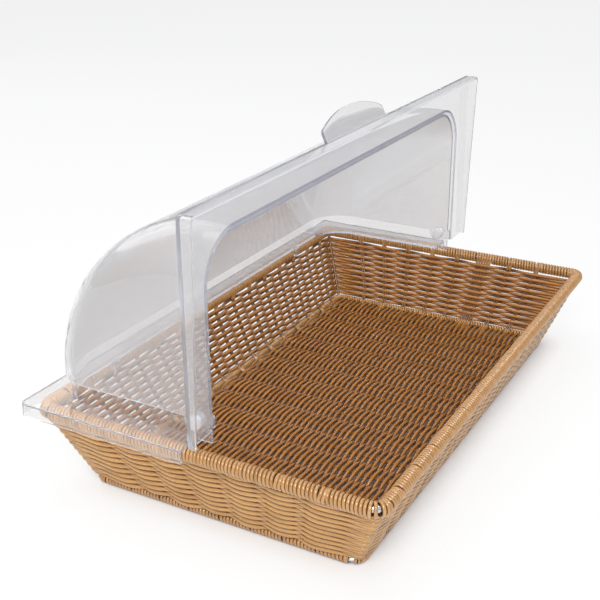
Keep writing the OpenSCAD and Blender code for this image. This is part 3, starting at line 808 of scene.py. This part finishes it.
class BREADBIN_OT_set_stakes(bpy.types.Operator):
    """Run the stakes across the floor, up the walls and over the rim"""
    bl_idname = "breadbin.set_stakes"
    bl_label = "Set the Stakes"

    def execute(self, context):
        sizes = context.scene.basket_sizes
        looks = context.scene.finishes
        # Floor rods and corner posts take the inner wicker tone, which is painted shade
        dark = wicker("wicker_stakes", looks.wicker_in_shade, "X", looks.weave_coat)
        bright = {True: wicker("wicker_coils_X", looks.winding, "X", looks.winding_coat),
                  False: wicker("wicker_coils_Y", looks.winding, "Y", looks.winding_coat)}
        for side in SIDES:
            rods = []
            for foot, count in stakes(sizes, side):
                rods += [self.rod(sizes, side, foot, i - (count - 1) / 2) for i in range(count)]
            upright = lay_strands("wall_stakes_" + side, rods, sizes.stake, WALL_STEPS)
            settle(upright)
            # Painted shade along each rod where the weave covers it
            record(upright, "depth", lambda p: self.brightness(sizes, p.z))
            fit(upright, "basket", bright[is_long(side)], "inner_wicker", "stakes_" + side)
        self.lay_floor_rods(sizes, dark)
        self.set_posts(sizes, dark)
        return {"FINISHED"}

    def brightness(self, sizes, z):
        """A rod gets painted shade from the weave from the base ring up to the rim, and a lighter
        painted shade at its foot.
        """
        if z > sizes.rim_height - sizes.rim_roll / 2 - 1 * MM:
            return 1
        if z < sizes.base_height + sizes.base_roll / 2 + 1 * MM:
            return ROD_AT_FOOT
        return ROD_ON_WALL

    def rod(self, sizes, side, foot, place):
        """Knots of one rod: floor, bend over the base ring, wall, round the rim. Place counts the
        rods of a stake from its middle."""
        low, high = sizes.base_height, sizes.rim_height
        base = half_out(sizes, side, low)
        way = Vector((half_out(sizes, side, high) - base, high - low)).normalized()

        def wall(z):
            return Vector((half_out(sizes, side, z), z))

        sag, widening = (sizes.sag, sizes.widening) if side == "left" else (1, 1)
        radius = (sizes.rim_roll * widening - sizes.coil) / 2
        drop = (sizes.rim_roll * sag - sizes.coil) / 2
        centre = Vector((half_out(sizes, side, high), high - sizes.rim_roll / 2 * (sag - 1)))

        def around(angle):
            """A point on the rim's roll, and the way the rod goes there."""
            x, z = math.cos(math.radians(angle)), math.sin(math.radians(angle))
            return centre + Vector((radius * x, drop * z)), Vector((radius * z, -drop * x))

        quarter = QUARTER_ARC * radius
        shoulder = (sizes.base_roll + sizes.stake) / 2 * math.sqrt(0.5)
        full = sizes.coil / sizes.stake
        bends = [
            knot(Vector((base - sizes.rod_reach, sizes.floor_level)), Vector((1, 0)), 5 * MM, 6 * MM),
            knot(Vector((base - shoulder, low + shoulder)), Vector((1, 0.9)), 4.5 * MM, 2.5 * MM),
            knot(wall(sizes.straight_end), way, 4 * MM, 15 * MM),
            knot(wall(high - sizes.straight_end), way, 15 * MM, 5 * MM),
        ]
        slants = [0] * len(bends)
        handles = ((4 * MM, 0.62 * radius), (quarter, quarter), (quarter, 0.4 * radius),
                   (0.4 * radius, 1 * MM))
        for (angle, thick, slant), (before, after) in zip(ROD_WRAP, handles):
            bends.append(knot(*around(angle), before, after, full * thick))
            slants.append(slant)
        rod = []
        for bend, slant in zip(bends, slants):
            shift = place * (sizes.stake * bend[3] + sizes.rod_gap) + slant * sizes.coil_pitch
            rod.append(move_knot(bend, lambda p, shift=shift: on_side(
                side, fanned(sizes, side, foot, p.y) + shift, p.x, p.y)))
        return rod

    def lay_floor_rods(self, sizes, dark):
        """Straight pairs of rods across the floor, between the long sides' stakes."""
        reach = sizes.base_width / 2 - sizes.rod_reach
        rods = []
        for k in range(-sizes.long_stakes, sizes.long_stakes + 1):
            for shift in (-0.5, 0.5):
                x = k * sizes.long_pitch + shift * (sizes.stake + sizes.floor_rod_gap)
                rods.append([knot(Vector((x, s * reach, sizes.floor_level)), Vector((0, 1, 0)),
                                  10 * MM, 10 * MM) for s in (-1, 1)])
        floor_rods = lay_strands("floor_rods", rods, sizes.stake, STRAIGHT_STEPS)
        settle(floor_rods)
        # Painted shade: the floor rods are darkened as if covered by strands
        record(floor_rods, "depth", lambda p: ROD_COVERED)
        fit(floor_rods, "basket", dark, "inner_wicker", "floor_stakes")

    def set_posts(self, sizes, dark):
        """One straight rod in each corner, from wire to wire."""
        inset = corner_inset(sizes)
        base_x, base_y, low = ring_sizes(sizes, "base")[:3]
        rim_x, rim_y, high = ring_sizes(sizes, "rim")[:3]
        posts = []
        for sx in (-1, 1):
            for sy in (-1, 1):
                foot = Vector((sx * (base_x / 2 - inset), sy * (base_y / 2 - inset), low))
                top = Vector((sx * (rim_x / 2 - inset), sy * (rim_y / 2 - inset), high))
                way = top - foot
                posts.append([knot(foot, way, 5 * MM, 20 * MM), knot(top, way, 20 * MM, 5 * MM)])
        corner = lay_strands("corner_stakes", posts, sizes.post, WALL_STEPS)
        settle(corner)
        # Painted shade: the corner posts are darkened as if covered by strands
        record(corner, "depth", lambda p: ROD_COVERED)
        fit(corner, "basket", dark, "inner_wicker", "corner_posts")


class BREADBIN_OT_finish_wires(bpy.types.Operator):
    """Give the rim and base wires their drawn steel finish"""
    bl_idname = "breadbin.finish_wires"
    bl_label = "Finish the Wires"

    def execute(self, context):
        steel = steel_wire("drawn_steel", context.scene.finishes.steel)
        for node in ("rim_wire", "base_wire"):
            wire = frame["nodes"][node]
            wire.data.materials.clear()
            wire.data.materials.append(steel)
            pick(wire)
            bpy.ops.object.shade_smooth_by_angle(angle=math.radians(40))
        return {"FINISHED"}


class BREADBIN_OT_mould_hoods(bpy.types.Operator):
    """Mould the two clear hoods, with their edges rounded over"""
    bl_idname = "breadbin.mould_hoods"
    bl_label = "Mould the Hoods"

    def execute(self, context):
        looks = context.scene.finishes
        clear = clear_plastic("clear_moulding", looks.clear, looks.clear_depth,
                              looks.depth_density, looks.hood_haze)
        for node, body, name in (("rear_hood", "rear_cover", "rear_hood_moulding"),
                                 ("front_hood", "front_cover", "front_hood_moulding")):
            hood = self.copy_node(node, name)
            fit(hood, body, clear, "clear_cover", node)
        return {"FINISHED"}

    def copy_node(self, node, name):
        """A copy of a CAD node's shell with its edges rounded over."""
        hood = bpy.data.objects.new(name, frame["nodes"][node].data.copy())
        bpy.context.scene.collection.objects.link(hood)
        pick(hood)
        bpy.ops.object.mode_set(mode="EDIT")
        bpy.ops.mesh.select_all(action="SELECT")
        bpy.ops.mesh.remove_doubles(threshold=0.005 * MM)
        bpy.ops.mesh.normals_make_consistent(inside=False)
        bpy.ops.object.mode_set(mode="OBJECT")
        edges = hood.modifiers.new("Edges", "BEVEL")
        edges.width = 0.4 * MM
        edges.segments = 2
        edges.limit_method = "ANGLE"
        edges.angle_limit = math.radians(50)
        bpy.ops.object.modifier_apply(modifier=edges.name)
        bpy.ops.object.shade_smooth_by_angle(angle=math.radians(40))
        flats = hood.modifiers.new("Flats", "WEIGHTED_NORMAL")
        flats.keep_sharp = True
        flats.weight = 100
        bpy.ops.object.modifier_apply(modifier=flats.name)
        return hood


class BREADBIN_OT_fit_pivots(bpy.types.Operator):
    """Finish the two pivot pins and their inner caps"""
    bl_idname = "breadbin.fit_pivots"
    bl_label = "Fit the Pivots"

    def execute(self, context):
        looks = context.scene.finishes
        frosted = clear_plastic("clear_fittings", looks.clear, looks.clear_depth,
                                looks.depth_density, looks.fitting_haze)
        for node in ("pivot_pin_left", "pivot_pin_right", "pivot_cap_left", "pivot_cap_right"):
            fitting = frame["nodes"][node]
            fitting.data.materials.clear()
            fitting.data.materials.append(frosted)
            pick(fitting)
            bpy.ops.object.shade_smooth_by_angle(angle=math.radians(35))
        return {"FINISHED"}


class BREADBIN_OT_set_stage(bpy.types.Operator):
    """Set the pale floor, the soft lamps and the camera"""
    bl_idname = "breadbin.set_stage"
    bl_label = "Set the Stage"

    def execute(self, context):
        stage = context.scene.stage_settings
        self.lay_floor(stage)
        self.light_world(context, stage)
        for lamp in LAMPS:
            self.hang_lamp(*lamp)
        self.place_camera(context, stage)
        context.scene.view_settings.view_transform = "Standard"
        cycles = context.scene.cycles
        cycles.max_bounces = cycles.glossy_bounces = cycles.transmission_bounces = stage.bounces
        return {"FINISHED"}

    def lay_floor(self, stage):
        """A pale floor that glows in the picture; near and under the basket its glow is cut and its
        colour pulled to the floor shade, a painted shadow.
        """
        deselect()
        bpy.ops.mesh.primitive_plane_add(size=FLOOR_SIZE, location=(0, 0, -FLOOR_DROP))
        floor = bpy.context.object
        floor.name = "floor"
        material, tree = new_material("pale_floor")
        surface = tree.nodes["Principled BSDF"]
        put(surface, "Roughness", 0.9)
        put(surface, "Specular IOR Level", 0.0)
        glow = tree.nodes.new("ShaderNodeEmission")
        mix = tree.nodes.new("ShaderNodeMixShader")
        seen = self.seen_by(tree, "Camera", "Glossy", "Transmission")
        # Painted shadow: ambient occlusion cuts the floor's glow and darkens its colour under and near
        # the basket
        near = tree.nodes.new("ShaderNodeAmbientOcclusion")
        put(near, "Distance", stage.shade_reach)
        under = tree.nodes.new("ShaderNodeMapRange")
        put(under, "From Max", 0.35)
        shaded = colour_mix(tree)
        put(shaded, "A", (*stage.floor_shade, 1))
        put(shaded, "B", (*stage.floor_colour, 1))
        tree.links.new(near.outputs["AO"], under.inputs["Value"])
        tree.links.new(under.outputs["Result"], shaded.inputs["Factor"])
        tree.links.new(shaded.outputs["Result"], surface.inputs["Base Color"])
        open_share = tree.nodes.new("ShaderNodeMath")
        open_share.operation = "MULTIPLY"
        put(open_share, 1, stage.floor_glow)
        tree.links.new(near.outputs["AO"], open_share.inputs[0])
        less = tree.nodes.new("ShaderNodeMath")
        less.operation = "MULTIPLY"
        tree.links.new(open_share.outputs[0], less.inputs[1])
        tree.links.new(seen, less.inputs[0])
        tree.links.new(less.outputs[0], mix.inputs["Fac"])
        tree.links.new(surface.outputs["BSDF"], mix.inputs[1])
        tree.links.new(glow.outputs["Emission"], mix.inputs[2])
        tree.links.new(mix.outputs["Shader"], tree.nodes["Material Output"].inputs["Surface"])
        floor.data.materials.append(material)

    def seen_by(self, tree, first, *others):
        """1 for rays of these kinds, 0 for the rest."""
        rays = tree.nodes.new("ShaderNodeLightPath")
        total = rays.outputs[f"Is {first} Ray"]
        for kind in others:
            either = tree.nodes.new("ShaderNodeMath")
            either.operation = "MAXIMUM"
            tree.links.new(total, either.inputs[0])
            tree.links.new(rays.outputs[f"Is {kind} Ray"], either.inputs[1])
            total = either.outputs[0]
        return total

    def light_world(self, context, stage):
        """A white sky, brighter where it is seen than where it lights the part."""
        world = context.scene.world or bpy.data.worlds.new("studio")
        context.scene.world = world
        world.use_nodes = True
        tree = world.node_tree
        back = tree.nodes["Background"]
        put(back, "Color", (0.97, 0.98, 1.0, 1))
        strength = tree.nodes.new("ShaderNodeMapRange")
        put(strength, "To Min", stage.sky)
        put(strength, "To Max", stage.sky_seen)
        tree.links.new(self.seen_by(tree, "Camera", "Transmission"), strength.inputs["Value"])
        tree.links.new(strength.outputs["Result"], back.inputs["Strength"])

    def hang_lamp(self, name, place, target, size, watts):
        """A round lamp that points at the target."""
        deselect()
        bpy.ops.object.light_add(type="AREA", location=place)
        lamp = bpy.context.object
        lamp.name = name
        lamp.data.shape = "DISK"
        lamp.data.size = size
        lamp.data.energy = watts
        lamp.rotation_euler = (Vector(target) - Vector(place)).to_track_quat("-Z", "Y").to_euler()

    def place_camera(self, context, stage):
        """The camera from which the part is shown."""
        deselect()
        bpy.ops.object.camera_add()
        camera = bpy.context.object
        a, e = stage.azimuth, stage.elevation
        back = Vector((math.sin(a) * math.cos(e), -math.cos(a) * math.cos(e), math.sin(e)))
        right = (-back).cross(Vector((0, 0, 1))).normalized()
        up = back.cross(right)
        turn = Matrix((right, up, back)).transposed() @ Matrix.Rotation(stage.roll, 3, "Z")
        camera.matrix_world = Matrix.Translation(stage.camera_place) @ turn.to_4x4()
        camera.data.sensor_width = 36
        camera.data.lens = stage.lens
        camera.data.clip_start = 0.01
        camera.data.clip_end = 100
        context.scene.camera = camera


class BREADBIN_PT_sidebar(bpy.types.Panel):
    """Lists the pieces in the order they are made."""
    bl_idname = "BREADBIN_PT_sidebar"
    bl_label = "Bread Display Bin"
    bl_space_type = "VIEW_3D"
    bl_region_type = "UI"
    bl_category = "Bread Bin"

    def draw(self, context):
        scene = context.scene
        for group in (scene.basket_sizes, scene.finishes, scene.stage_settings):
            box = self.layout.box()
            for name in group.__annotations__:
                box.prop(group, name)
        for step in STEPS:
            self.layout.operator(step.bl_idname)


STEPS = (BREADBIN_OT_wind_rings, BREADBIN_OT_loop_corners, BREADBIN_OT_weave_walls,
         BREADBIN_OT_weave_floor, BREADBIN_OT_set_stakes, BREADBIN_OT_finish_wires,
         BREADBIN_OT_mould_hoods, BREADBIN_OT_fit_pivots, BREADBIN_OT_set_stage)
CLASSES = (BasketSizes, Finishes, StageSettings, *STEPS, BREADBIN_PT_sidebar)


def register():
    for cls in CLASSES:
        bpy.utils.register_class(cls)
    bpy.types.Scene.basket_sizes = PointerProperty(type=BasketSizes)
    bpy.types.Scene.finishes = PointerProperty(type=Finishes)
    bpy.types.Scene.stage_settings = PointerProperty(type=StageSettings)


def unregister():
    del bpy.types.Scene.stage_settings
    del bpy.types.Scene.finishes
    del bpy.types.Scene.basket_sizes
    for cls in reversed(CLASSES):
        bpy.utils.unregister_class(cls)


def main():
    register()
    for step in STEPS:
        group, name = step.bl_idname.split(".")
        getattr(getattr(bpy.ops, group), name)()


if __name__ == "__main__":
    main()
